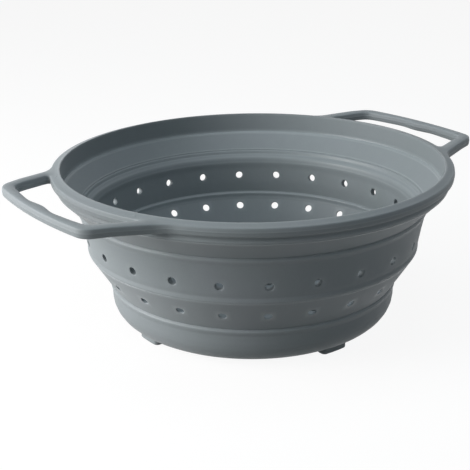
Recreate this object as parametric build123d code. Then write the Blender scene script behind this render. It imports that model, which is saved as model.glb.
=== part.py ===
from build123d import *
import math
import os

# Collapsible colander: a bowl of three stiff silicone bands joined by two thin fold webs,
# a rim with two loop handles stiffened by a frame inside them, and four feet under the base.
# Millimetres, +Z up. The origin is on the table under the middle of the bowl,
# and the two handles point along -X (left) and +X (right).

# Heights of the open bowl, from the table up
foot_height = 2.5
base_band_height = 21.9
lower_web_height = 23.3
middle_band_height = 25.4
upper_web_height = 14.8
rim_band_height = 10.2

# Outer radius of the rim's lip, and how far each bead's crest steps in from the one above it
rim_radius = 120.0
rim_crest_step = 2.6
middle_top_crest_step = 11.7
middle_low_crest_step = 4.9
base_crest_step = 12.7

# Silicone thicknesses and the beads and shoulders at the fold lines
band_wall = 2.6
web_wall = 1.5
floor_wall = 3.0
bead_radius = 1.5
bead_proud = 0.8
shoulder_drop = 4.5

# Rim lip
lip_width = 5.9
lip_thickness = 6.6
lip_edge_radius = 2.0
lip_inner_edge_radius = 1.4
rim_band_flare = 0.8

# Base corner and floor
base_taper = 0.6
base_corner_radius = 14.0
base_inner_corner_radius = 11.0

# Drain holes: two rows of the same count in the wall, and rings of holes in the floor
holes_per_row = 24
hole_turn = -2.4
upper_hole_diameter = 5.0
upper_hole_drop = 15.9
lower_hole_diameter = 5.0
lower_hole_drop = 11.0
floor_hole_diameter = 5.0
floor_holes_share = 0.625
floor_ring_count = 4
first_floor_ring_count = 6

# Feet, one under each handle and one to each side
foot_count = 4
foot_inset = 9.5
foot_width = 7.0
foot_length = 18.0
foot_end_radius = 2.8
foot_edge_radius = 0.8

# Handles: how far they stand out beyond the rim, with their widths as shares of the rim's radius
handle_projection = 26.0
handle_end_inset = 4.0
handle_end_width_share = 0.399
handle_root_width_share = 0.513
handle_root_reach_share = 0.847
handle_corner_radius = 10.6
handle_root_fillet = 22.0
handle_parting = 0.6

# Finger gaps, with two shallow finger scallops on the grip bar
grip_bar_width = 7.3
grip_arm_width = 5.8
opening_end_inset = 3.0
opening_corner_radius = 6.0
scallop_depth = 1.6
scallop_length_share = 0.63
scallop_blend_radius = 6.0

# Stiffening frame sealed inside the lip and the handles
frame_thickness = 2.6
frame_ring_width = 3.0
frame_bar_width = 2.4
frame_fit = 0.05
frame_pin_diameter = 1.6
frame_pin_count = 8

# Room between the solids of two moving bodies at a fold line
fold_gap = 0.3

# Cutting tools run past the faces that they cut by this much
overrun = 5.0

# Edges are taken to lie at a place when they are nearer to it than this
near_enough = 0.1

# Heights of the fold lines and of the lip
base_fold_z = foot_height + base_band_height
middle_low_z = base_fold_z + lower_web_height
middle_top_z = middle_low_z + middle_band_height
rim_fold_z = middle_top_z + upper_web_height
rim_top_z = rim_fold_z + rim_band_height
lip_under_z = rim_top_z - lip_thickness
lip_mid_z = rim_top_z - lip_thickness / 2

# Flat faces where a stiff band ends and its web begins
base_end_z = base_fold_z + bead_radius
middle_low_end_z = middle_low_z - bead_radius
middle_top_end_z = middle_top_z + bead_radius
rim_end_z = rim_fold_z - bead_radius

# Crest radii of the beads, from the rim down
rim_crest_radius = rim_radius - rim_crest_step
middle_top_crest_radius = rim_crest_radius - middle_top_crest_step
middle_low_crest_radius = middle_top_crest_radius - middle_low_crest_step
base_crest_radius = middle_low_crest_radius - base_crest_step

# Outer radii of the walls behind the beads
base_wall_radius = base_crest_radius - bead_proud
middle_low_wall_radius = middle_low_crest_radius - bead_proud
middle_top_wall_radius = middle_top_crest_radius - bead_proud
rim_wall_radius = rim_crest_radius - bead_proud
base_low_radius = base_wall_radius - base_taper
lip_inner_radius = rim_radius - lip_width
foot_outer_radius = base_crest_radius - foot_inset
floor_ring_pitch = base_low_radius * floor_holes_share / floor_ring_count

# Handle and finger gap sizes that follow the rim
handle_reach = rim_radius + handle_projection
handle_end_half_width = rim_radius * handle_end_width_share
handle_root_half_width = rim_radius * handle_root_width_share
handle_root_reach = rim_radius * handle_root_reach_share
handle_arm_run = handle_reach - handle_end_inset - handle_root_reach
handle_arm_lean = (handle_root_half_width - handle_end_half_width) / handle_arm_run
opening_end_half_width = handle_end_half_width - grip_arm_width
scallop_length = opening_end_half_width * scallop_length_share

# Both rows of holes start near the handles' line
hole_pitch = 360 / holes_per_row


def revolved(outline):
    """Solid of revolution of a closed outline of (radius, height) points."""
    return revolve(Plane.XZ * make_face(Polyline(outline, close=True)), Axis.Z)


def bead(crest_radius, height):
    """Rounded ring that stands proud of the wall at a fold line."""
    place = Location((crest_radius - bead_radius, height))
    return revolve(Plane.XZ * place * Circle(bead_radius), Axis.Z)


def level_wall(top_radius, bottom_radius, height):
    """Thickness of a leaning web measured level, along the radius."""
    return web_wall * math.hypot(top_radius - bottom_radius, height) / height


def wall_radius(z, low_radius, low_z, top_radius, top_z):
    """Radius of a straight leaning wall at a height."""
    return low_radius + (top_radius - low_radius) * (z - low_z) / (top_z - low_z)


def row_of_holes(solid, radius, height, lean, diameter, depth):
    """Cut one row of drain holes square to a wall that leans by this many degrees."""
    place = Location((radius, 0, height)) * Rotation(0, 90 + lean, 0)
    tool = place * Cylinder(diameter / 2, depth)
    return solid - [Rotation(0, 0, hole_turn + number * hole_pitch) * tool for number in range(holes_per_row)]


def fold_web(top_radius, top_z, bottom_radius, bottom_z):
    """Thin leaning ring between two stiff bands; the radii are those of its outer side."""
    wall = level_wall(top_radius, bottom_radius, top_z - bottom_z)
    outline = [
        (top_radius, top_z),
        (bottom_radius, bottom_z),
        (bottom_radius - wall, bottom_z),
        (top_radius - wall, top_z),
    ]
    return revolved(outline)


def handle_plan(cover, bar):
    """Plan of one loop on +X drawn in by cover, from the axis outwards, with sharp corners."""
    end_x = handle_reach - handle_end_inset - cover - bar
    corner = (end_x, handle_end_half_width - cover - bar)
    root = (handle_root_reach, handle_root_half_width - cover - bar)
    mirror_corner = (corner[0], -corner[1])
    mirror_root = (root[0], -root[1])
    edges = [
        Line(corner, root),
        Line(root, (0, 0)),
        Line((0, 0), mirror_root),
        Line(mirror_root, mirror_corner),
        ThreePointArc(mirror_corner, (handle_reach - cover - bar, 0), corner),
    ]
    return make_face(Wire(edges))


def upright_edges(solid, low_x, low_y):
    """Upright edges that lie beyond this much along X and to either side."""
    edges = solid.edges().filter_by(Axis.Z)
    return [edge for edge in edges if abs(edge.center().X) > low_x and abs(edge.center().Y) > low_y]


def gap_root_corner(end_x):
    """Where the gap's side, which runs along the arm from its corner at end_x, meets the curve of the rim."""
    side_at_axis = opening_end_half_width + handle_arm_lean * end_x
    spread = 1 + handle_arm_lean**2
    root_x = side_at_axis * handle_arm_lean + math.sqrt(rim_radius**2 * spread - side_at_axis**2)
    root_x = root_x / spread
    return root_x, side_at_axis - handle_arm_lean * root_x


def finger_gap():
    """Tool for the gap of the handle on +X, from the lip's underside to its top."""
    bar_x = handle_reach - grip_bar_width
    end_x = bar_x - opening_end_inset
    deep_x = bar_x + scallop_depth
    root_x, root_y = gap_root_corner(end_x)
    middle = (bar_x, 0)
    upper_end = (bar_x, scallop_length)
    lower_end = (bar_x, -scallop_length)
    upper_corner = (end_x, opening_end_half_width)
    lower_corner = (end_x, -opening_end_half_width)
    upper_root = (root_x, root_y)
    lower_root = (root_x, -root_y)
    edges = [
        ThreePointArc(middle, (deep_x, scallop_length / 2), upper_end),
        Line(upper_end, upper_corner),
        Line(upper_corner, upper_root),
        ThreePointArc(upper_root, (rim_radius, 0), lower_root),
        Line(lower_root, lower_corner),
        Line(lower_corner, lower_end),
        ThreePointArc(lower_end, (deep_x, -scallop_length / 2), middle),
    ]
    gap = extrude(make_face(Wire(edges)), lip_thickness)
    half_way = (scallop_length + opening_end_half_width) / 2
    gap = fillet(upright_edges(gap, 0, half_way), opening_corner_radius)
    kinks = [edge for edge in gap.edges().filter_by(Axis.Z) if abs(edge.center().X - bar_x) < near_enough]
    return fillet(kinks, scallop_blend_radius)


def lip_and_loops():
    """The whole moulded lip, still a full disc, with both loops and their finger gaps."""
    plan = handle_plan(0, 0)
    slab = extrude(Circle(rim_radius) + plan + mirror(plan, Plane.YZ), lip_thickness)
    slab = fillet(upright_edges(slab, rim_radius, 0), handle_corner_radius)
    slab = fillet(upright_edges(slab, 0, handle_end_half_width + handle_corner_radius / 2), handle_root_fillet)
    gap = finger_gap()
    slab = slab - gap - mirror(gap, Plane.YZ)
    ends = slab.faces().sort_by(Axis.Z)
    slab = fillet(ends[0].edges() + ends[-1].edges(), lip_edge_radius)
    return Location((0, 0, lip_under_z)) * slab


def frame_solid(fit):
    """One-piece stiffening frame: a flat ring with a loop to each side, grown by fit all round."""
    middle_radius = rim_radius - lip_width / 2
    ring = Circle(middle_radius + frame_ring_width / 2 + fit) - Circle(middle_radius - frame_ring_width / 2 - fit)
    cover = (grip_arm_width - frame_bar_width) / 2
    loop = extrude(handle_plan(cover - fit, 0), frame_thickness + 2 * fit)
    loop = fillet(upright_edges(loop, rim_radius, 0), handle_corner_radius - cover + fit)
    bore = extrude(handle_plan(cover + fit, frame_bar_width), frame_thickness + 2 * fit)
    bore = fillet(upright_edges(bore, rim_radius, 0), handle_corner_radius - cover - frame_bar_width - fit)
    loop = loop - bore - Cylinder(middle_radius, frame_thickness + overrun * 2)
    frame = extrude(ring, frame_thickness + 2 * fit) + loop + mirror(loop, Plane.YZ)
    return Location((0, 0, lip_mid_z - frame_thickness / 2 - fit)) * frame


def moulding_pin_holes():
    """Tools for the holes under the lip left by the pins that held the frame in the mould."""
    pin_ring_radius = rim_radius - (lip_width - frame_ring_width + frame_pin_diameter) / 2
    tools = []
    for number in range(frame_pin_count):
        turn = Rotation(0, 0, (number + 1 / 2) * 360 / frame_pin_count)
        place = Location((pin_ring_radius, 0, lip_under_z))
        tools.append(turn * place * Cylinder(frame_pin_diameter / 2, lip_thickness))
    return tools


def make_rim_and_handles():
    """Rim collar and both handle grips, parted just outside the lip, with the frame's seat inside."""
    moulding = lip_and_loops() - frame_solid(frame_fit)
    bore = Location((0, 0, lip_mid_z)) * Cylinder(lip_inner_radius, lip_thickness + overrun)
    parting = Location((0, 0, lip_mid_z)) * Cylinder(rim_radius + handle_parting, lip_thickness + overrun)
    lip = (moulding & parting) - bore - moulding_pin_holes()
    inner_edge = [
        edge for edge in lip.edges().filter_by(GeomType.CIRCLE)
        if abs(edge.radius - lip_inner_radius) < near_enough and edge.center().Z > lip_mid_z
    ]
    lip = fillet(inner_edge, lip_inner_edge_radius)
    band = revolved([
        (lip_inner_radius, lip_under_z + bead_radius),
        (rim_wall_radius + rim_band_flare, lip_under_z + bead_radius),
        (rim_wall_radius, rim_end_z),
        (rim_wall_radius - band_wall, rim_end_z),
    ])
    collar = lip + band + bead(rim_crest_radius, rim_fold_z)
    grips = (moulding - parting).solids().sort_by(Axis.X)
    return {"rim_collar": collar, "left_handle": grips[0], "right_handle": grips[-1]}


def make_middle_ring():
    """Stiff band between the two webs, with a bead at each end and the upper row of holes."""
    shoulder_z = middle_top_end_z - shoulder_drop
    low = (middle_low_wall_radius, middle_low_end_z)
    top = (middle_top_wall_radius, middle_top_end_z)
    web = level_wall(rim_wall_radius, middle_top_wall_radius, rim_end_z - middle_top_end_z)
    ring = revolved([
        low,
        top,
        (top[0] - web, top[1]),
        (wall_radius(shoulder_z, *low, *top) - band_wall, shoulder_z),
        (low[0] - band_wall, low[1]),
    ])
    ring = ring + bead(middle_low_crest_radius, middle_low_z) + bead(middle_top_crest_radius, middle_top_z)
    hole_z = middle_top_z - upper_hole_drop
    lean = math.degrees(math.atan2(top[0] - low[0], top[1] - low[1]))
    hole_radius = wall_radius(hole_z, *low, *top) - band_wall / 2
    return row_of_holes(ring, hole_radius, hole_z, lean, upper_hole_diameter, band_wall + overrun)


def make_upper_web():
    """Web between the middle ring and the rim, which turns inside out as the rim goes down."""
    return fold_web(rim_wall_radius, rim_end_z - fold_gap, middle_top_wall_radius, middle_top_end_z)


def make_lower_web():
    """Web between the base and the middle ring, with the lower row of holes."""
    low = (base_wall_radius, base_end_z)
    top = (middle_low_wall_radius, middle_low_end_z - fold_gap)
    web = fold_web(*top, *low)
    hole_z = middle_low_z - lower_hole_drop
    lean = math.degrees(math.atan2(top[0] - low[0], top[1] - low[1]))
    hole_radius = wall_radius(hole_z, *low, *top) - level_wall(top[0], low[0], top[1] - low[1]) / 2
    return row_of_holes(web, hole_radius, hole_z, lean, lower_hole_diameter, web_wall + overrun)


def base_body():
    """The base's outer shape, filled solid, with its rounded bottom corner."""
    body = revolved([
        (0, foot_height),
        (base_low_radius, foot_height),
        (base_low_radius, foot_height + base_corner_radius + bead_radius),
        (base_wall_radius, base_fold_z),
        (base_wall_radius, base_end_z),
        (0, base_end_z),
    ])
    corner = body.edges().filter_by(GeomType.CIRCLE).sort_by(Axis.Z)[0]
    return fillet(corner, base_corner_radius)


def base_hollow():
    """The space inside the base, with its rounded inner corner."""
    inner = base_low_radius - band_wall
    web = level_wall(middle_low_wall_radius, base_wall_radius, lower_web_height)
    shoulder_z = base_end_z - shoulder_drop
    hollow = revolved([
        (0, foot_height + floor_wall),
        (inner, foot_height + floor_wall),
        (base_wall_radius - band_wall, shoulder_z),
        (base_wall_radius - web, base_end_z),
        (base_wall_radius - web, base_end_z + overrun),
        (0, base_end_z + overrun),
    ])
    corner = hollow.edges().filter_by(GeomType.CIRCLE).sort_by(Axis.Z)[0]
    return fillet(corner, base_inner_corner_radius)


def floor_holes():
    """Tools for the drain holes in the floor: one in the middle and rings around it."""
    tool = Location((0, 0, foot_height)) * Cylinder(floor_hole_diameter / 2, floor_wall + overrun)
    tools = [tool]
    for ring in range(1, floor_ring_count + 1):
        count = ring * first_floor_ring_count
        for number in range(count):
            tools.append(Rotation(0, 0, number * 360 / count) * Location((ring * floor_ring_pitch, 0, 0)) * tool)
    return tools


def make_base():
    """Base band and floor in one bowl, with the bead at its fold line and the floor holes."""
    return base_body() - base_hollow() + bead(base_crest_radius, base_fold_z) - floor_holes()


def make_foot(turn):
    """One curved foot that fits up against the base's rounded corner."""
    height = foot_height + base_corner_radius
    ring = Cylinder(foot_outer_radius, height) - Cylinder(foot_outer_radius - foot_width, height)
    block = Location((foot_outer_radius, 0, 0)) * Box(foot_width * 2 + overrun, foot_length, height)
    foot = Location((0, 0, height / 2)) * (ring & block)
    foot = fillet(foot.edges().filter_by(Axis.Z), foot_end_radius)
    foot = fillet(foot.faces().sort_by(Axis.Z)[0].edges(), foot_edge_radius)
    return Rotation(0, 0, turn) * (foot - base_body())


parts = make_rim_and_handles()
parts["stiffening_frame"] = frame_solid(0)
parts["upper_fold_web"] = make_upper_web()
parts["middle_ring"] = make_middle_ring()
parts["lower_fold_web"] = make_lower_web()
parts["base_bowl"] = make_base()
foot_names = ["foot_right", "foot_back", "foot_left", "foot_front"]
for number, name in enumerate(foot_names):
    parts[name] = make_foot(number * 360 / foot_count)

os.makedirs("parts", exist_ok=True)
for name, solid in parts.items():
    export_step(solid, f"parts/{name}.step")
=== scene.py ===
import math

import bpy
from mathutils import Matrix, Vector
from mathutils.geometry import delaunay_2d_cdt


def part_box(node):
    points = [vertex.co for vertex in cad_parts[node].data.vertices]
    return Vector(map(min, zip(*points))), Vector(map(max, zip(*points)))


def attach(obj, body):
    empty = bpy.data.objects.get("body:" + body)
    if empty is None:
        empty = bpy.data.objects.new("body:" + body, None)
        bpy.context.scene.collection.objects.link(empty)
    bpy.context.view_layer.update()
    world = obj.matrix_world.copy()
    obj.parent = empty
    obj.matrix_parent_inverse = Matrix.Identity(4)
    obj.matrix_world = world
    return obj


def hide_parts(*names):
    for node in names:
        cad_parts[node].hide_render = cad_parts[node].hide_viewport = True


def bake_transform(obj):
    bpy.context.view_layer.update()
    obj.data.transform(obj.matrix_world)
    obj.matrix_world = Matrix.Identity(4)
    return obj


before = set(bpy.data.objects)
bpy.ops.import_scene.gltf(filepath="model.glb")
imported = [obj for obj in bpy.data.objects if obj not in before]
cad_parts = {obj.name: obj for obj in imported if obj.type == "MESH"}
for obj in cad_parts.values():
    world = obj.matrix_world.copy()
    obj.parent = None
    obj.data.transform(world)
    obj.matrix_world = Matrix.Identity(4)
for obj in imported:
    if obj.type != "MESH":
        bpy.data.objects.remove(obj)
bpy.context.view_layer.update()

# Stiffening frame: one flat ring with a loop to each side, moulded in glass-filled nylon.
# It is laid in the mould first, and the silicone of the rim and handles closes over it.

nylon_colour = (0.034, 0.038, 0.040, 1)
blotch_scale, cloud_scale, speck_scale = 26, 150, 1500
fine_grain_scale, broad_grain_scale = 2400, 700
middle_of_noise = (0.3, 0.7)
hue_swing = 0.01
roughness_swing = 0.04
rub_polish = 1.5
skin_inputs = {"Colour": "NodeSocketColor", "Blotches": "NodeSocketFloat", "Specks": "NodeSocketFloat",
               "Rub and highlight": "NodeSocketFloat", "Roughness": "NodeSocketFloat", "Grain": "NodeSocketFloat"}
skin_outputs = {"Colour": "NodeSocketColor", "Roughness": "NodeSocketFloat", "Normal": "NodeSocketVector"}


def new_finish(name):
    """A material with an empty Principled BSDF: the material, its nodes, its links and the shader."""
    finish = bpy.data.materials.new(name)
    finish.use_nodes = True
    tree = finish.node_tree
    return finish, tree.nodes, tree.links, tree.nodes["Principled BSDF"]


def noise(nodes, links, place, scale, detail):
    """Noise of this many blotches to the metre, in the piece's own coordinates."""
    node = nodes.new("ShaderNodeTexNoise")
    node.inputs["Scale"].default_value = scale
    node.inputs["Detail"].default_value = detail
    links.new(place, node.inputs["Vector"])
    return node.outputs["Fac"]


def ranged(nodes, links, source, source_range, made_range):
    """A Map Range node that carries a value from one range over to another."""
    node = nodes.new("ShaderNodeMapRange")
    for name, level in zip(("From Min", "From Max", "To Min", "To Max"), (*source_range, *made_range)):
        node.inputs[name].default_value = level
    links.new(source, node.inputs["Value"])
    return node.outputs["Result"]


def sums(nodes, links, operation, first, second):
    """A Math node whose inputs are sockets or plain numbers."""
    node = nodes.new("ShaderNodeMath")
    node.operation = operation
    for value, socket in zip((first, second), node.inputs):
        if isinstance(value, (int, float)):
            socket.default_value = value
        else:
            links.new(value, socket)
    return node.outputs["Value"]


def moulded_skin_group():
    """Skin of a moulded piece: soft blotches, fine specks, rubbed edges that are polished and painted
    lighter as a highlight, and a fine grain.
    """
    group = bpy.data.node_groups.new("moulded skin", "ShaderNodeTree")
    for sockets, way in ((skin_inputs, "INPUT"), (skin_outputs, "OUTPUT")):
        for name, kind in sockets.items():
            group.interface.new_socket(name=name, in_out=way, socket_type=kind)
    nodes, links = group.nodes, group.links
    given = nodes.new("NodeGroupInput").outputs
    made = nodes.new("NodeGroupOutput").inputs
    place = nodes.new("ShaderNodeTexCoord").outputs["Object"]

    def combined(operation, first, second):
        return sums(nodes, links, operation, first, second)

    def swinging(scale, detail):
        return ranged(nodes, links, noise(nodes, links, place, scale, detail), middle_of_noise, (-1, 1))

    blotch, cloud, speck = swinging(blotch_scale, 3), swinging(cloud_scale, 4), swinging(speck_scale, 2)
    soft = combined("MULTIPLY", combined("ADD", blotch, cloud), given["Blotches"])
    fine = combined("MULTIPLY", speck, given["Specks"])
    # The rub input lightens the colour: a painted highlight on edges, bead crests and hole rims.
    shade = combined("ADD", combined("ADD", soft, fine), given["Rub and highlight"])
    tint = nodes.new("ShaderNodeHueSaturation")
    links.new(given["Colour"], tint.inputs["Color"])
    links.new(combined("ADD", shade, 1), tint.inputs["Value"])
    links.new(combined("ADD", combined("MULTIPLY", blotch, hue_swing), 0.5), tint.inputs["Hue"])
    links.new(tint.outputs["Color"], made["Colour"])

    worn = combined("SUBTRACT", given["Roughness"], combined("MULTIPLY", given["Rub and highlight"], rub_polish))
    links.new(combined("ADD", worn, combined("MULTIPLY", cloud, roughness_swing)), made["Roughness"])

    grain = combined("ADD", noise(nodes, links, place, fine_grain_scale, 2),
                     noise(nodes, links, place, broad_grain_scale, 3))
    bump = nodes.new("ShaderNodeBump")
    bump.inputs["Distance"].default_value = 1
    links.new(combined("MULTIPLY", grain, given["Grain"]), bump.inputs["Height"])
    links.new(bump.outputs["Normal"], made["Normal"])
    return group


moulded_skin = moulded_skin_group()


def wear_skin(nodes, links, shader, colour, blotches, specks, roughness, grain):
    """Put the moulded skin on a shader with its own values, and give back its input for rubbed edges, which
    polishes them and paints a highlight on them.
    """
    skin = nodes.new("ShaderNodeGroup")
    skin.node_tree = moulded_skin
    for name, value in (("Colour", colour), ("Blotches", blotches), ("Specks", specks), ("Rub and highlight", 0),
                        ("Roughness", roughness), ("Grain", grain)):
        skin.inputs[name].default_value = value
    for name, socket in (("Colour", "Base Color"), ("Roughness", "Roughness"), ("Normal", "Normal")):
        links.new(skin.outputs[name], shader.inputs[socket])
    return skin.inputs["Rub and highlight"]


nylon, nodes, links, shader = new_finish("glass-filled nylon")
wear_skin(nodes, links, shader, nylon_colour, blotches=0.06, specks=0.18, roughness=0.62, grain=0.00004)
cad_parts["stiffening_frame"].data.materials.clear()
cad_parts["stiffening_frame"].data.materials.append(nylon)

# Base bowl: the stiff bottom band and the floor, moulded in matte grey food-grade silicone.
# The floor has rings of round drain holes, and a bead runs round the fold line at the top.

millimetre = 0.001
columns = 480
hole_columns = 8
holes_per_row = 24
columns_per_hole = columns // holes_per_row
column_angle = 2 * math.pi / columns
hole_turn = math.radians(-2.4)
row_spacing = 1.3 * millimetre
rub_and_highlight_rounding = 3 * millimetre
rounding_step = math.radians(13)

bead_radius = 1.5 * millimetre
bead_run = 3.2 * millimetre
bead_proud = 0.8 * millimetre
bead_steps = 8
fold_edge = 0.3 * millimetre
hole_radius = 2.35 * millimetre
hole_edge = 0.3 * millimetre
mouth_turns = (0, 30, 60, 90)
# Hole mouths are rubbed this much: polished, and painted lighter as a highlight round their edges.
mouth_rub_and_highlight = 0.5
mouth_points = 28

base_low, base_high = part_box("base_bowl")
band_wall = 2.6 * millimetre
base_wall_radius = base_high.x - bead_proud
base_foot_radius = base_wall_radius - 0.6 * millimetre
base_lip_wall = 1.75 * millimetre
base_fold = base_high.z - bead_radius
base_corner = 14 * millimetre
base_inner_corner = 11 * millimetre
shoulder_drop = 4.5 * millimetre
shoulder_rounding = 2 * millimetre
floor_under = base_low.z
floor_top = floor_under + 3 * millimetre
flat_radius = base_foot_radius - base_corner - 0.5 * millimetre
inner_flat_radius = base_foot_radius - band_wall - base_inner_corner - 1 * millimetre
floor_hole_rings = 4
holes_in_first_ring = 6
holed_floor_share = 0.625
floor_ring_pitch = base_foot_radius * holed_floor_share / floor_hole_rings

silicone_colour = (0.262, 0.300, 0.318, 1)
silicone_roughness = 0.56
silicone_grain = 0.000025


def rounded(corners, closed=False):
    """Points (radius, height, rub and highlight) of an outline of (radius, height, rounding) corners, with
    long sides divided. A corner without rounding may give its own rub, and a small rounding is rubbed and
    painted lighter as a highlight all over."""
    points = []
    count = len(corners)
    for number, (r, z, rounding, *rub_and_highlight) in enumerate(corners):
        here = Vector((r, z))
        if not rounding:
            points.append((r, z, rub_and_highlight[0] if rub_and_highlight else 0.0))
            continue
        back = (Vector(corners[number - 1][:2]) - here).normalized()
        on = (Vector(corners[(number + 1) % count][:2]) - here).normalized()
        half = back.angle(on) / 2
        middle = here + (back + on).normalized() * (rounding / math.sin(half))
        start = here + back * (rounding / math.tan(half)) - middle
        end = here + on * (rounding / math.tan(half)) - middle
        sweep = start.angle_signed(end)
        steps = max(3, round(abs(sweep) / rounding_step))
        # A small rounding gets the full rub: polished, and painted lighter as a highlight on the edge.
        edge_rub_and_highlight = 1.0 if rounding < rub_and_highlight_rounding else 0.0
        for step in range(steps + 1):
            turned = Matrix.Rotation(-sweep * step / steps, 2) @ start
            points.append((middle.x + turned.x, middle.y + turned.y, edge_rub_and_highlight))
    divided = []
    ends = points[1:] + points[:1] if closed else points[1:]
    for (r0, z0, rub0), (r1, z1, rub1) in zip(points, ends):
        length = math.hypot(r1 - r0, z1 - z0)
        pieces = 1 if rub0 and rub1 and length < row_spacing else max(1, math.ceil(length / row_spacing))
        for piece in range(pieces):
            share = piece / pieces
            rub_and_highlight = rub0 if piece == 0 else 0.0
            divided.append((r0 + (r1 - r0) * share, z0 + (z1 - z0) * share, rub_and_highlight))
    return divided if closed else divided + [points[-1]]


class Skin:
    """The growing mesh of one piece: its points, its faces and how far each point is rubbed and painted
    lighter as a highlight.
    """

    def __init__(self):
        self.points, self.faces, self.rub_and_highlight = [], [], []

    def add(self, place, rub_and_highlight=0.0):
        self.points.append(tuple(place))
        self.rub_and_highlight.append(rub_and_highlight)
        return len(self.points) - 1

    def ring(self, r, z, rub_and_highlight):
        """A level ring of points round the bowl's axis."""
        turns = [hole_turn + number * column_angle for number in range(columns)]
        return [self.add((r * math.cos(turn), r * math.sin(turn), z), rub_and_highlight) for turn in turns]

    def join(self, lower, upper, skipped=()):
        """Faces between two closed loops of the same count, but not those that start at a skipped place."""
        for j in range(len(lower)):
            if j not in skipped:
                k = (j + 1) % len(lower)
                self.faces.append((lower[j], lower[k], upper[k], upper[j]))

    def lathe(self, profile, closed=False, blocks=()):
        """Turn a profile round the axis, without the faces of each block of holes (first row, last row)."""
        rings = [self.ring(*point) for point in profile]
        near_hole = {(hole * columns_per_hole + step) % columns for hole in range(holes_per_row)
                     for step in range(-hole_columns // 2, hole_columns // 2)}
        for number in range(len(rings) if closed else len(rings) - 1):
            inside = any(min(block) <= number < max(block) for block in blocks)
            self.join(rings[number], rings[(number + 1) % len(rings)], near_hole if inside else ())
        return rings

    def fill(self, outer, holes):
        """Cover a level face between one outer loop of points and the loops inside it."""
        loops = [outer] + list(holes)
        listed = [point for loop in loops for point in loop]
        owner = [number for number, loop in enumerate(loops) for _ in loop]
        flat = [Vector(self.points[point][:2]) for point in listed]
        edges, start = [], 0
        for loop in loops:
            edges += [(start + n, start + (n + 1) % len(loop)) for n in range(len(loop))]
            start += len(loop)
        found = delaunay_2d_cdt(flat, edges, [], 1, 1e-8)
        origin = [sources[0] for sources in found[3]]
        for triangle in found[2]:
            corners = [origin[corner] for corner in triangle]
            owners = {owner[corner] for corner in corners}
            if len(owners) == 1:
                loop = loops[owners.pop()]
                middle = sum((flat[corner] for corner in corners), Vector((0, 0))) / 3
                if inside_loop(middle, [self.points[point] for point in loop]) != (loop is outer):
                    continue
            self.faces.append(tuple(listed[corner] for corner in corners))

    def finished(self, name, finish, slot):
        """Make the Blender object, with faces turned outwards, smooth shading and its attribute of rub and
        painted highlight.
        """
        mesh = bpy.data.meshes.new(name)
        mesh.from_pydata(self.points, [], self.faces)
        rub_and_highlight = mesh.attributes.new("rub_and_highlight", "FLOAT", "POINT")
        rub_and_highlight.data.foreach_set("value", self.rub_and_highlight)
        piece = bpy.data.objects.new(name, mesh)
        bpy.context.scene.collection.objects.link(piece)
        bpy.context.view_layer.objects.active = piece
        piece.select_set(True)
        bpy.ops.object.mode_set(mode="EDIT")
        bpy.ops.mesh.select_all(action="SELECT")
        bpy.ops.mesh.normals_make_consistent(inside=False)
        bpy.ops.object.mode_set(mode="OBJECT")
        piece.select_set(False)
        mesh.shade_smooth()
        mesh.materials.append(finish)
        return piece


def inside_loop(place, loop):
    """Whether a point lies inside a closed loop, by counting the sides that it looks across."""
    crossings = 0
    for (x0, y0, _), (x1, y1, _) in zip(loop, loop[1:] + loop[:1]):
        if (y0 > place.y) != (y1 > place.y) and place.x < x0 + (x1 - x0) * (place.y - y0) / (y1 - y0):
            crossings += 1
    return crossings % 2 == 1


def bead_corners(crest_radius, height, lean, below, above):
    """Corners of a soft bead, from below, on the outer side of a wall that leans out by this much to the
    height. The bead dies away over these heights below and above its crest."""
    listed = []
    for step in range(1 - bead_steps, bead_steps):
        rise = (above if step > 0 else below) * step / bead_steps
        swell = (1 + math.cos(math.pi * step / bead_steps)) / 2
        # Near its crest the bead is rubbed and painted lighter: a painted highlight line along the bead.
        rub_and_highlight = (1 + math.cos(math.pi * min(1, abs(rise) / bead_radius))) / 2
        listed.append((crest_radius - bead_proud * (1 - swell) + lean * rise, height + rise, 0, rub_and_highlight))
    return listed


def mouth_edge(turn):
    """Radius and depth on the soft edge of a hole, this many degrees round its rounding."""
    angle = math.radians(turn)
    return hole_radius + hole_edge * (1 - math.sin(angle)), hole_edge * (1 - math.cos(angle))


def silicone_finish(name, blotches, specks, rub_and_highlight_strength=0.1):
    """Matte silicone: its blotches, its specks and how strong the painted highlight on its rubbed edges is
    differ between pieces.
    """
    finish, nodes, links, shader = new_finish(name)
    rub_and_highlight_input = wear_skin(nodes, links, shader, silicone_colour, blotches, specks, silicone_roughness,
                          silicone_grain)
    # The rub value of each point, scaled, lightens the colour as a painted highlight and lowers the
    # roughness.
    rub_and_highlight = nodes.new("ShaderNodeAttribute")
    rub_and_highlight.attribute_name = "rub_and_highlight"
    links.new(sums(nodes, links, "MULTIPLY", rub_and_highlight.outputs["Fac"], rub_and_highlight_strength), rub_and_highlight_input)
    shader.inputs["IOR"].default_value = 1.41
    shader.inputs["Sheen Weight"].default_value = 0.12
    shader.inputs["Sheen Roughness"].default_value = 0.5
    return finish


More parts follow.
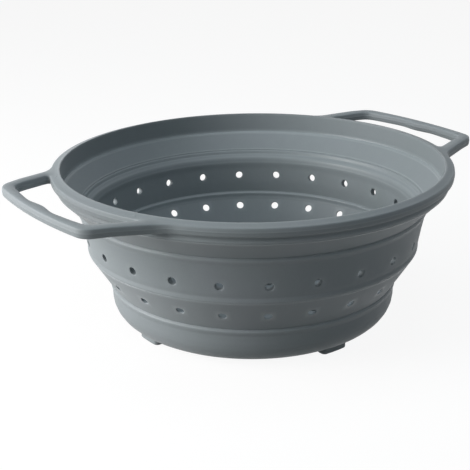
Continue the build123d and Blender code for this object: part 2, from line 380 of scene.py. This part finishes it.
base_skin = Skin()
base_rings = base_skin.lathe(rounded([
    (flat_radius, floor_under, 0),
    (base_foot_radius, floor_under, base_corner),
    (base_wall_radius, base_fold - bead_run, 0),
    *bead_corners(base_high.x, base_fold, 0, bead_run, bead_radius),
    (base_wall_radius, base_high.z, fold_edge),
    (base_wall_radius - base_lip_wall, base_high.z, fold_edge),
    (base_wall_radius - band_wall, base_high.z - shoulder_drop, shoulder_rounding),
    (base_foot_radius - band_wall, floor_top, base_inner_corner),
    (inner_flat_radius, floor_top, 0),
]))
floor_centres = [(0.0, 0.0)]
for floor_ring in range(1, floor_hole_rings + 1):
    for number in range(floor_ring * holes_in_first_ring):
        turn = 2 * math.pi * number / (floor_ring * holes_in_first_ring)
        floor_centres.append((floor_ring * floor_ring_pitch * math.cos(turn),
                              floor_ring * floor_ring_pitch * math.sin(turn)))
under_mouths, top_mouths = [], []
for centre_x, centre_y in floor_centres:
    loops = []
    for side, height, turns in ((1, floor_under, mouth_turns), (-1, floor_top, reversed(mouth_turns))):
        for radius, depth in map(mouth_edge, turns):
            loops.append([base_skin.add((centre_x + radius * math.cos(2 * math.pi * n / mouth_points),
                                         centre_y + radius * math.sin(2 * math.pi * n / mouth_points),
                                         height + side * depth), mouth_rub_and_highlight)
                          for n in range(mouth_points)])
    for lower, upper in zip(loops, loops[1:]):
        base_skin.join(lower, upper)
    under_mouths.append(loops[0])
    top_mouths.append(loops[-1])
base_skin.fill(base_rings[0], under_mouths)
base_skin.fill(base_rings[-1], top_mouths)

band_silicone = silicone_finish("band silicone", blotches=0.018, specks=0.02)
base_bowl = base_skin.finished("base_bowl_skin", band_silicone, "silicone")
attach(base_bowl, "base")
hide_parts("base_bowl")

# Four feet: short curved blocks of the same silicone under the base's rounded corner.
# They are moulded with the base and lift the floor off the table so that it drains.

foot_silicone = silicone_finish("foot silicone", blotches=0.018, specks=0.02)
for name in ("foot_right", "foot_back", "foot_left", "foot_front"):
    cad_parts[name].data.materials.clear()
    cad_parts[name].data.materials.append(foot_silicone)

# Lower fold web: thin silicone between the base and the middle ring, with the lower row of holes.
# It is moulded with both bands, and turns inside out as the middle ring is pushed down.

web_wall = 1.5 * millimetre
crisp = 0.15 * millimetre
tuck = 0.8 * millimetre
sunk = 0.3 * millimetre
hole_block = 5 * millimetre
mouth_shares = (0.4, 0.75, 1.0)

lower_web_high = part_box("lower_fold_web")[1]
ring_low, ring_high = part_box("middle_ring")
lower_web_foot = (base_wall_radius, base_high.z)
lower_web_top = (lower_web_high.x, ring_low.z)
lower_hole_drop = 11.0 * millimetre
lower_hole_height = ring_low.z + bead_radius - lower_hole_drop
ring_inner_foot = lower_web_top[0] - 2.5 * millimetre
lower_ledge_lap = 0.5 * millimetre
lower_ledge_steps = ((0, 0, 0), (1.3, 1.1, 0.9), (1.5, 3.3, 1.5))


def spaced(low, high):
    """Points from one (radius, height) to another in equal steps, ready for a block of holes."""
    steps = hole_columns
    return [(low[0] + (high[0] - low[0]) * n / steps, low[1] + (high[1] - low[1]) * n / steps, 0.0)
            for n in range(steps + 1)]


def hole_mouth(skin, rings, rows, profile, hole, outward):
    """Blend one block of a turned wall into a round hole with a soft edge, and give its throat's loop."""
    low, high = rows
    step = 1 if high > low else -1
    (r0, z0, _), (r1, z1, _) = profile[low], profile[high]
    half_height = math.hypot(r1 - r0, z1 - z0) / 2
    half_angle = hole_columns / 2 * column_angle
    half_width = (r0 + r1) / 2 * half_angle
    slope = Vector((r1 - r0, z1 - z0)).normalized()
    normal = Vector((slope.y, -slope.x)) * outward
    corner = hole_columns // 2
    way = range(-corner, corner)
    border = [(n, -corner) for n in way] + [(corner, n) for n in way]
    border += [(-n, corner) for n in way] + [(-corner, -n) for n in way]
    centre = hole * columns_per_hole

    def place(u, v, depth):
        turn = hole_turn + centre * column_angle + u * half_angle
        r = r0 + (r1 - r0) * (v + 1) / 2 - normal.x * depth
        z = z0 + (z1 - z0) * (v + 1) / 2 - normal.y * depth
        return r * math.cos(turn), r * math.sin(turn), z

    def circle(column, row, radius):
        turn = math.atan2(row * half_height, column * half_width)
        return radius * math.cos(turn) / half_width, radius * math.sin(turn) / half_height

    loop = [rings[low + step * (row + corner)][(centre + column) % columns] for column, row in border]
    for share in mouth_shares:
        made = []
        for column, row in border:
            u, v = circle(column, row, hole_radius + hole_edge)
            made.append(skin.add(place(column / corner * (1 - share) + u * share,
                                       row / corner * (1 - share) + v * share, 0), mouth_rub_and_highlight * share))
        skin.join(loop, made)
        loop = made
    for turn in mouth_turns[1:]:
        radius, depth = mouth_edge(turn)
        rub_and_highlight = mouth_rub_and_highlight if turn < 90 else 0
        made = [skin.add(place(*circle(column, row, radius), depth), rub_and_highlight) for column, row in border]
        skin.join(loop, made)
        loop = made
    return loop


def pierced_wall(skin, foot, rise, outer, over, inner, fall):
    """Turn a closed wall with a row of holes. From its foot, the profile takes the corners of the rise, the
    outer block of holes, the corners over the top, the inner block of holes and the corners of the fall."""
    first = rounded([foot, *rise, (*outer[0], 0)])[:-1]
    outer_block, inner_block = spaced(*outer), spaced(*inner)
    second = rounded([(*outer[1], 0), *over, (*inner[0], 0)])[1:-1]
    third = rounded([(*inner[1], 0), *fall, foot])[1:-1]
    profile = first + outer_block + second + inner_block + third
    outer_start = len(first)
    inner_start = outer_start + len(outer_block) + len(second)
    outer_rows = (outer_start, outer_start + hole_columns)
    inner_rows = (inner_start + hole_columns, inner_start)
    rings = skin.lathe(profile, closed=True, blocks=(outer_rows, inner_rows))
    for hole in range(holes_per_row):
        outside = hole_mouth(skin, rings, outer_rows, profile, hole, 1)
        inside = hole_mouth(skin, rings, inner_rows, profile, hole, -1)
        skin.join(outside, inside)


def web_skin(low, top, ledge, hole_height=None):
    """Thin leaning ring whose outer side runs from one (radius, height) to another. Inside, under the band
    above it, a ledge given as corners leads on to its plain inner side."""
    slope = (Vector(top) - Vector(low)).normalized()
    normal = Vector((slope.y, -slope.x))
    inner_low = Vector(low) - normal * (web_wall - sunk)
    skin = Skin()
    if hole_height is None:
        corners = [(*low, crisp), (*top, crisp), *ledge, (*inner_low, crisp)]
        skin.lathe(rounded(corners, closed=True), closed=True)
        return skin

    def along(start, distance):
        spot = Vector(start) + slope * distance
        return spot.x, spot.y

    middle = (hole_height - low[1]) / slope.y
    outer = along(low, middle - hole_block), along(low, middle + hole_block)
    inner = along(inner_low, middle + hole_block), along(inner_low, middle - hole_block)
    foot = (*((Vector(low) + inner_low) / 2), 0)
    pierced_wall(skin, foot, [(*low, crisp)], outer, [(*top, crisp), *ledge], inner, [(*inner_low, crisp)])
    return skin


def leaned(low, top, distance):
    """A (radius, height) this far beyond the top of a leaning line, or below its foot if it is negative."""
    line = (Vector(top) - Vector(low)).normalized() * distance
    end = Vector(top) + line if distance > 0 else Vector(low) + line
    return end.x, end.y


def set_in(corner, steps):
    """Corners at these steps in millimetres, inwards and down from one corner, each with its rounding."""
    return [(corner[0] - inwards * millimetre, corner[1] - down * millimetre, rounding * millimetre)
            for inwards, down, rounding in steps]


lower_ledge = [(ring_inner_foot + lower_ledge_lap, ring_low.z + tuck, crisp)]
lower_ledge += set_in((ring_inner_foot, ring_low.z), lower_ledge_steps)
lower_web_ends = [leaned(lower_web_foot, lower_web_top, distance) for distance in (-tuck, tuck)]
# The webs get a stronger painted highlight on their ledges, bead crests and hole rims.
web_silicone = silicone_finish("web silicone", blotches=0.02, specks=0.02, rub_and_highlight_strength=0.25)
lower_web = web_skin(*lower_web_ends, lower_ledge, lower_hole_height)
lower_web = lower_web.finished("lower_web_skin", web_silicone, "silicone")
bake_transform(lower_web)
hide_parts("lower_fold_web")

# Middle ring: the stiff band between the webs, with the upper row of drain holes.
# A bead runs round each of its fold lines, and a shoulder inside carries the upper web.

low_crest = lower_web_high.x + bead_proud
top_crest = ring_high.x
ring_foot = (low_crest - bead_proud, ring_low.z)
ring_top = (top_crest - bead_proud, ring_high.z)
ring_wall_low, ring_wall_high = 3.2 * millimetre, 3.9 * millimetre
ring_foot_middle = (ring_foot[0] - 1 * millimetre, ring_foot[1], 0)
ring_lean = Vector((ring_top[0] - ring_foot[0], ring_top[1] - ring_foot[1])).normalized()
ring_normal = Vector((ring_lean.y, -ring_lean.x))
ring_slope = ring_lean.x / ring_lean.y
set_back = 0.05 * millimetre
upper_hole_drop = 15.9 * millimetre
upper_hole_height = ring_high.z - bead_radius - upper_hole_drop
ring_block_low = upper_hole_height - hole_block * ring_lean.y
ring_block_high = upper_hole_height + hole_block * ring_lean.y
ring_shoulder_steps = ((1.65, 0, 0), (2.3, 0.9, 0.6), (2.7, 2.3, 0.7), (5.2, 4.6, 2.5), (6.1, 8.0, 2.5))


def on_ring(height, depth):
    """A (radius, height) on the ring's wall at this height, this deep below its outer side."""
    share = (height - ring_foot[1]) / (ring_top[1] - ring_foot[1])
    spot = Vector((ring_foot[0] + (ring_top[0] - ring_foot[0]) * share, height)) - ring_normal * depth
    return spot.x, spot.y


ring_skin = Skin()
pierced_wall(
    ring_skin,
    ring_foot_middle,
    [(*ring_foot, fold_edge),
     *bead_corners(low_crest, ring_foot[1] + bead_radius, ring_slope, bead_radius, bead_run)],
    (on_ring(ring_block_low, 0), on_ring(ring_block_high, 0)),
    [*bead_corners(top_crest, ring_top[1] - bead_radius, ring_slope, bead_run, bead_radius),
     (*ring_top, fold_edge),
     *set_in(ring_top, ring_shoulder_steps)],
    (on_ring(ring_block_high, ring_wall_high), on_ring(ring_block_low, ring_wall_low)),
    [(ring_inner_foot + set_back, ring_foot[1], crisp)],
)
middle_ring = ring_skin.finished("middle_ring_skin", band_silicone, "silicone")
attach(middle_ring, "middle")
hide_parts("middle_ring")

# Upper fold web: the plain thin web between the middle ring and the rim.
# It is moulded with both and turns inside out as the rim is pushed down.

upper_web_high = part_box("upper_fold_web")[1]
collar_low, collar_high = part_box("rim_collar")
upper_web_foot = (ring_top[0], ring_high.z)
upper_web_top = (upper_web_high.x, collar_low.z)
collar_inner_foot = collar_high.y - 5.85 * millimetre
upper_ledge_lap = 0.6 * millimetre
upper_ledge_steps = ((0, 0, 0), (0.05, 1.2, 0.4), (1.2, 1.7, 0.6))

upper_ledge = [(collar_inner_foot + upper_ledge_lap, collar_low.z + tuck, crisp)]
upper_ledge += set_in((collar_inner_foot, collar_low.z), upper_ledge_steps)
upper_web_ends = [leaned(upper_web_foot, upper_web_top, distance) for distance in (-tuck, tuck)]
upper_web = web_skin(*upper_web_ends, upper_ledge)
upper_web = upper_web.finished("upper_web_skin", web_silicone, "silicone")
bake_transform(upper_web)
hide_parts("upper_fold_web")

# Rim and both handles: one moulding of silicone over the stiffening frame.
# The lip slopes outwards, has a parting line round its side, and flows into the arms of the handles.

handle_low, handle_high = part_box("right_handle")
rim_radius = collar_high.y
lip_top = collar_high.z
lip_under = handle_low.z
lip_inner_radius = rim_radius - 5.9 * millimetre
lip_fall = 1.1 * millimetre
lip_crest_inset = 0.5 * millimetre
lip_crest_rounding = 1.0 * millimetre
lip_inner_drop = 0.4 * millimetre
lip_inner_rounding = 0.6 * millimetre

band_foot = collar_low.z
band_outer_radius = upper_web_high.x
band_crest = band_outer_radius + bead_proud
band_lean = 0.06
band_bead_run = 1.5 * bead_radius
band_head_radius = band_outer_radius + 0.3 * millimetre
band_head_rounding = 0.9 * millimetre

handle_reach = handle_high.x
handle_end_inset = 4.0 * millimetre
handle_end_half_width_share = 0.399
handle_root_half_width_share = 0.513
handle_root_reach_share = 0.847
handle_end_half_width = rim_radius * handle_end_half_width_share
handle_root_half_width = rim_radius * handle_root_half_width_share
handle_root_reach = rim_radius * handle_root_reach_share
handle_corner = 10.6 * millimetre
handle_root_fillet = 22 * millimetre

grip_bar_width = 7.3 * millimetre
grip_arm_width = 5.8 * millimetre
opening_end_inset = 3.0 * millimetre
opening_rim_radius = rim_radius + 0.4 * millimetre
opening_steps = 120
opening_corner_rounds = 26
scallop_depth = 1.6 * millimetre
scallop_length_share = 0.63

outline_spacing = 1.2 * millimetre
draft = 0.25 * millimetre
flash = 0.08 * millimetre
top_round = 0.9 * millimetre
under_round = 1.0 * millimetre
round_turns = (0, 22.5, 45, 67.5, 90)
# Rounded edges of the lip and handles are rubbed this much: polished, and painted lighter as a highlight.
round_rub_and_highlight = 0.3
bar_crown = 2.0 * millimetre
bar_fall = 0.25 * millimetre
loop_thickness = 5.8 * millimetre
loop_dip = 0.8 * millimetre
loop_rise = 0.057
loop_blend = 4 * millimetre
# Parting line: each step's depth, its rise and its rub; the flash is rubbed fully and painted lighter as a
# highlight line.
parting_steps = (
    (draft / 2, 0.8 * millimetre, 0.0),
    (draft / 3, 0.3 * millimetre, 0.0),
    (draft / 3 - flash, 0.12 * millimetre, 1.0),
)


def arc(centre, radius, start, end):
    """Points along an arc, without its last one."""
    steps = max(2, math.ceil(abs(end - start) * radius / outline_spacing))
    return [(centre[0] + radius * math.cos(start + (end - start) * n / steps),
             centre[1] + radius * math.sin(start + (end - start) * n / steps)) for n in range(steps)]


def even_loop(points, spacing):
    """The same closed loop with points at even steps."""
    ends = points[1:] + points[:1]
    lengths = [math.dist(a, b) for a, b in zip(points, ends)]
    count = round(sum(lengths) / spacing)
    step, made, walked, side = sum(lengths) / count, [], 0.0, 0
    for number in range(count):
        while walked + lengths[side] < number * step:
            walked += lengths[side]
            side += 1
        share = (number * step - walked) / lengths[side]
        (x0, y0), (x1, y1) = points[side], ends[side]
        made.append((x0 + (x1 - x0) * share, y0 + (y1 - y0) * share))
    return made


def relaxed(points, rounds):
    """Ease the corners of a closed loop by drawing each point towards its neighbours."""
    for _ in range(rounds):
        points = [((a[0] + 2 * b[0] + c[0]) / 4, (a[1] + 2 * b[1] + c[1]) / 4)
                  for a, b, c in zip(points[-1:] + points[:-1], points, points[1:] + points[:1])]
    return points


def moulding_outline():
    """Plan of the rim with both handles: a quarter worked out with its fillets, then mirrored."""
    root = Vector((handle_root_reach, handle_root_half_width))
    corner = Vector((handle_reach - handle_end_inset, handle_end_half_width))
    arm = (corner - root).normalized()
    side = Vector((-arm.y, arm.x))
    bow = (handle_end_half_width**2 + handle_end_inset**2) / (2 * handle_end_inset)
    bow_centre = Vector((handle_reach - bow, 0))

    def touching(middle, distance, offset):
        """The far point of the arm's line, moved by an offset, that is at this distance from a middle."""
        start = root + side * offset - middle
        along, rest = start.dot(arm), start.dot(start) - distance**2
        return root + side * offset + arm * (-along + math.sqrt(along**2 - rest))

    end_centre = touching(bow_centre, bow - handle_corner, -handle_corner)
    root_centre = touching(Vector((0, 0)), rim_radius + handle_root_fillet, handle_root_fillet)
    bow_turn = math.atan2(end_centre.y - bow_centre.y, end_centre.x - bow_centre.x)
    side_turn = math.atan2(side.y, side.x)
    rim_turn = math.atan2(root_centre.y, root_centre.x)
    quarter = arc(bow_centre, bow, 0, bow_turn) + arc(end_centre, handle_corner, bow_turn, side_turn)
    quarter += arc(root_centre, handle_root_fillet, side_turn - math.pi, rim_turn - math.pi)
    quarter += arc((0, 0), rim_radius, rim_turn, math.pi / 2)
    mirrored = [(-x, y) for x, y in reversed(quarter[1:])]
    upper = quarter + [(0, rim_radius)] + mirrored + [(-handle_reach, 0)]
    lower = [(x, -y) for x, y in reversed(upper[1:-1])]
    return even_loop(upper + lower, outline_spacing)


def gap_outline(side):
    """Plan of one finger gap: the bar's inner edge with two finger scallops, the arms and the rim."""
    half_end = handle_end_half_width - grip_arm_width
    bar_x = handle_reach - grip_bar_width
    end_x = bar_x - opening_end_inset
    scallop_length = half_end * scallop_length_share
    arm_run = handle_reach - handle_end_inset - handle_root_reach
    lean = (handle_root_half_width - handle_end_half_width) / arm_run
    level = half_end + lean * end_x
    root_x = (level * lean + math.sqrt(opening_rim_radius**2 * (1 + lean**2) - level**2)) / (1 + lean**2)
    root_turn = math.atan2(level - lean * root_x, root_x)
    points = []
    for number in range(-opening_steps, opening_steps + 1):
        y = half_end * number / opening_steps
        if abs(y) < scallop_length:
            x = bar_x + scallop_depth * (1 - math.cos(2 * math.pi * abs(y) / scallop_length)) / 2
        else:
            x = bar_x - opening_end_inset * (abs(y) - scallop_length) / (half_end - scallop_length)
        points.append((x, y))
    points += arc((0, 0), opening_rim_radius, root_turn, -root_turn)
    points = [(x * side, y) for x, y in points]
    return relaxed(even_loop(points, outline_spacing * 2 / 3), opening_corner_rounds)


def outward_normals(points):
    """Unit normals of a closed loop, pointing to the right of its way round."""
    normals = []
    for a, c in zip(points[-1:] + points[:-1], points[1:] + points[:1]):
        run = Vector((c[0] - a[0], c[1] - a[1])).normalized()
        normals.append(Vector((run.y, -run.x)))
    return normals


def levels(x, y):
    """Heights of the moulding's top and underside at a place on its edge. The handles rise from the lip."""
    share = min(1, max(0, (math.hypot(x, y) - rim_radius) / loop_blend))
    share = share * share * (3 - 2 * share)
    loop_top = lip_top - max(0, loop_dip - loop_rise * (abs(x) - lip_inner_radius))
    top = lip_top - lip_fall
    return top + (loop_top - top) * share, lip_under + (loop_top - loop_thickness - lip_under) * share


def edge_loops(skin, points, inward):
    """Loops down one side of the moulding: eased top, drafted side with its parting line, rounded underside.
    Inward is 1 where the silicone lies to the left of the loop's way round. Each row gives its depth, its
    share of the way from top to underside, a step up from there and its rub, which also paints a highlight."""
    rows = [(bar_crown, 0, 0.0, 0.0)]
    for angle in map(math.radians, reversed(round_turns)):
        rows.append((draft + top_round * (1 - math.cos(angle)), 0,
                     -bar_fall - top_round * (1 - math.sin(angle)), round_rub_and_highlight))
    rows += [(depth, 0.5, step, rub_and_highlight) for depth, step, rub_and_highlight in parting_steps]
    rows += [(depth, 0.5, -step, rub_and_highlight) for depth, step, rub_and_highlight in reversed(parting_steps)]
    for angle in map(math.radians, round_turns):
        rows.append((draft + under_round * (1 - math.cos(angle)), 1,
                     under_round * (1 - math.sin(angle)), round_rub_and_highlight))
    sides = [(x, y, normal * inward, *levels(x, y))
             for (x, y), normal in zip(points, outward_normals(points))]
    loops = [[skin.add((x - normal.x * depth, y - normal.y * depth, top + (under - top) * share + step), rub_and_highlight)
              for x, y, normal, top, under in sides] for depth, share, step, rub_and_highlight in rows]
    for lower, upper in zip(loops, loops[1:]):
        skin.join(lower, upper)
    return loops[0], loops[-1]


rim_skin = Skin()
outline_top, outline_under = edge_loops(rim_skin, moulding_outline(), 1)
gap_loops = [edge_loops(rim_skin, gap_outline(side), -side) for side in (1, -1)]
collar_rings = rim_skin.lathe(rounded([
    (rim_radius - bar_crown - 0.4 * millimetre, lip_top - lip_fall + 0.1 * millimetre, 0),
    (lip_inner_radius + lip_crest_inset, lip_top, lip_crest_rounding),
    (lip_inner_radius, lip_top - lip_inner_drop, lip_inner_rounding),
    (collar_inner_foot + set_back, band_foot, crisp),
    (band_outer_radius, band_foot, fold_edge),
    *bead_corners(band_crest, band_foot + bead_radius, band_lean, bead_radius, band_bead_run),
    (band_head_radius, lip_under, band_head_rounding),
    (band_outer_radius + 1.6 * millimetre, lip_under, 0),
]))
rim_skin.fill(outline_top, [collar_rings[0]] + [top for top, _ in gap_loops])
rim_skin.fill(outline_under, [collar_rings[-1]] + [under for _, under in gap_loops])

rim_silicone = silicone_finish("rim silicone", blotches=0.018, specks=0.02)
rim_and_handles = rim_skin.finished("rim_and_handles_skin", rim_silicone, "silicone")
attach(rim_and_handles, "rim")
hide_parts("rim_collar", "left_handle", "right_handle")

# Pin marks: small round plugs of silicone on the slope of the lip beside each arm.
# They close the places where pins held the frame while the silicone was injected.

mark_reach = rim_radius - 2.5 * millimetre
mark_level = lip_top - 1 * millimetre
mark_turn = math.radians(21.6)
mark_points = 16
mark_rub = 0.6
lip_slope = 0.33
mark_steps = ((0.05, -0.4), (1.2, -0.15), (0.9, 0.1), (0.45, 0.17), (0.05, 0.18))

mark_skin = Skin()
for turn in (mark_turn, math.pi - mark_turn, math.pi + mark_turn, -mark_turn):
    loops = []
    for radius, rise in mark_steps:
        loop = []
        for number in range(mark_points):
            spot = 2 * math.pi * number / mark_points
            out, across = radius * math.cos(spot) * millimetre, radius * math.sin(spot) * millimetre
            loop.append(mark_skin.add((
                (mark_reach + out) * math.cos(turn) - across * math.sin(turn),
                (mark_reach + out) * math.sin(turn) + across * math.cos(turn),
                mark_level + rise * millimetre - out * lip_slope,
            ), mark_rub))
        loops.append(loop)
    for lower, upper in zip(loops, loops[1:]):
        mark_skin.join(lower, upper)
    mark_skin.faces += [tuple(loops[0]), tuple(loops[-1])]
pin_marks = mark_skin.finished("pin_marks", rim_silicone, "silicone")
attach(pin_marks, "rim")

# Stage: a plain pale floor and an even sky, both white to look at, as round the bowl in the photograph.
# Soft lamps stand on the left, and weaker ones above and on the right.

view_turn = math.radians(-37.5)
floor_half = 6.0
white = (1, 1, 1, 1)
glow_share = 0.86
glow_strength = 1.06
floor_lit, floor_seen = 0.3, 0.95
sky_lit, sky_seen = 0.03, 1.0
warm_light, soft_warm_light, cool_light = (1.0, 0.975, 0.955), (1.0, 0.98, 0.965), (0.84, 0.93, 1.0)


def looked_at(nodes, links):
    """1 for rays from the camera, a glossy surface or a clear one, and 0 for rays that light the bowl."""
    path = nodes.new("ShaderNodeLightPath").outputs
    by_way_of_surface = sums(nodes, links, "MAXIMUM", path["Is Glossy Ray"], path["Is Transmission Ray"])
    return sums(nodes, links, "MAXIMUM", path["Is Camera Ray"], by_way_of_surface)


floor_mesh = bpy.data.meshes.new("floor")
floor_corners = [(-floor_half, -floor_half, 0), (floor_half, -floor_half, 0),
                 (floor_half, floor_half, 0), (-floor_half, floor_half, 0)]
floor_mesh.from_pydata(floor_corners, [], [(0, 1, 2, 3)])
floor = bpy.data.objects.new("floor", floor_mesh)
bpy.context.scene.collection.objects.link(floor)
floor_finish, nodes, links, shader = new_finish("pale floor")
nodes.remove(shader)
paint = nodes.new("ShaderNodeBsdfDiffuse")
glow = nodes.new("ShaderNodeEmission")
glow.inputs["Color"].default_value = white
glow.inputs["Strength"].default_value = glow_strength
mixed = nodes.new("ShaderNodeMixShader")
seen = looked_at(nodes, links)
links.new(ranged(nodes, links, seen, (0, 1), (floor_lit, floor_seen)), paint.inputs["Color"])
links.new(sums(nodes, links, "MULTIPLY", seen, glow_share), mixed.inputs[0])
links.new(paint.outputs[0], mixed.inputs[1])
links.new(glow.outputs[0], mixed.inputs[2])
output = next(node for node in nodes if node.type == "OUTPUT_MATERIAL")
links.new(mixed.outputs[0], output.inputs["Surface"])
floor_mesh.materials.append(floor_finish)

world = bpy.data.worlds.new("pale sky")
bpy.context.scene.world = world
world.use_nodes = True
nodes, links = world.node_tree.nodes, world.node_tree.links
sky = nodes["Background"]
sky.inputs["Color"].default_value = white
seen = looked_at(nodes, links)
links.new(ranged(nodes, links, seen, (0, 1), (sky_lit, sky_seen)), sky.inputs["Strength"])


def soft_lamp(name, azimuth, elevation, distance, size, power, colour):
    """Square soft lamp that looks at the bowl. Azimuth is in degrees from the camera's right, anticlockwise
    from above."""
    lamp = bpy.data.lights.new(name, "AREA")
    lamp.shape = "SQUARE"
    lamp.size = size
    lamp.energy = power
    lamp.color = colour
    body = bpy.data.objects.new(name, lamp)
    bpy.context.scene.collection.objects.link(body)
    turn, rise = math.radians(azimuth) + view_turn, math.radians(elevation)
    way = Vector((math.cos(rise) * math.cos(turn), math.cos(rise) * math.sin(turn), math.sin(rise)))
    aim = Vector((0, 0, 0.06))
    stand = aim + way * distance
    facing = (aim - stand).to_track_quat("-Z", "Y").to_matrix().to_4x4()
    body.matrix_world = Matrix.Translation(stand) @ facing


soft_lamp("key lamp", azimuth=203, elevation=22, distance=1.2, size=0.6, power=7.6, colour=warm_light)
soft_lamp("left lamp", azimuth=183, elevation=11, distance=0.85, size=0.5, power=5.2, colour=soft_warm_light)
soft_lamp("top lamp", azimuth=0, elevation=89, distance=1.2, size=0.8, power=3.6, colour=cool_light)
soft_lamp("right lamp", azimuth=315, elevation=35, distance=1.4, size=0.8, power=1.6, colour=cool_light)

# Camera: at the photograph's angle, about 0.6 m from the bowl and looking down on it by 20 degrees.
# It was fitted to the circles of the rim, the beads and the base, and to the outlines of the handles.

camera_pitch = 0.35641
camera_yaw = -0.02539
camera_roll = -0.01552
camera_back = 0.59955
camera_height = 0.27100
focal_pixels = 1034.13
photo_width = 470
principal_x, principal_y = 227.54, 237.01

camera = bpy.data.cameras.new("camera")
camera.sensor_width = 36
camera.lens = focal_pixels * camera.sensor_width / photo_width
camera.shift_x = (photo_width / 2 - principal_x) / photo_width
camera.shift_y = (principal_y - photo_width / 2) / photo_width
camera.clip_start = 0.01
camera_body = bpy.data.objects.new("camera", camera)
bpy.context.scene.collection.objects.link(camera_body)
camera_body.matrix_world = (
    Matrix.Rotation(view_turn, 4, "Z")
    @ Matrix.Translation((0, -camera_back, camera_height))
    @ Matrix.Rotation(-camera_yaw, 4, "Z")
    @ Matrix.Rotation(math.pi / 2 - camera_pitch, 4, "X")
    @ Matrix.Rotation(camera_roll, 4, "Z")
)
bpy.context.scene.camera = camera_body
bpy.context.scene.view_settings.view_transform = "Standard"
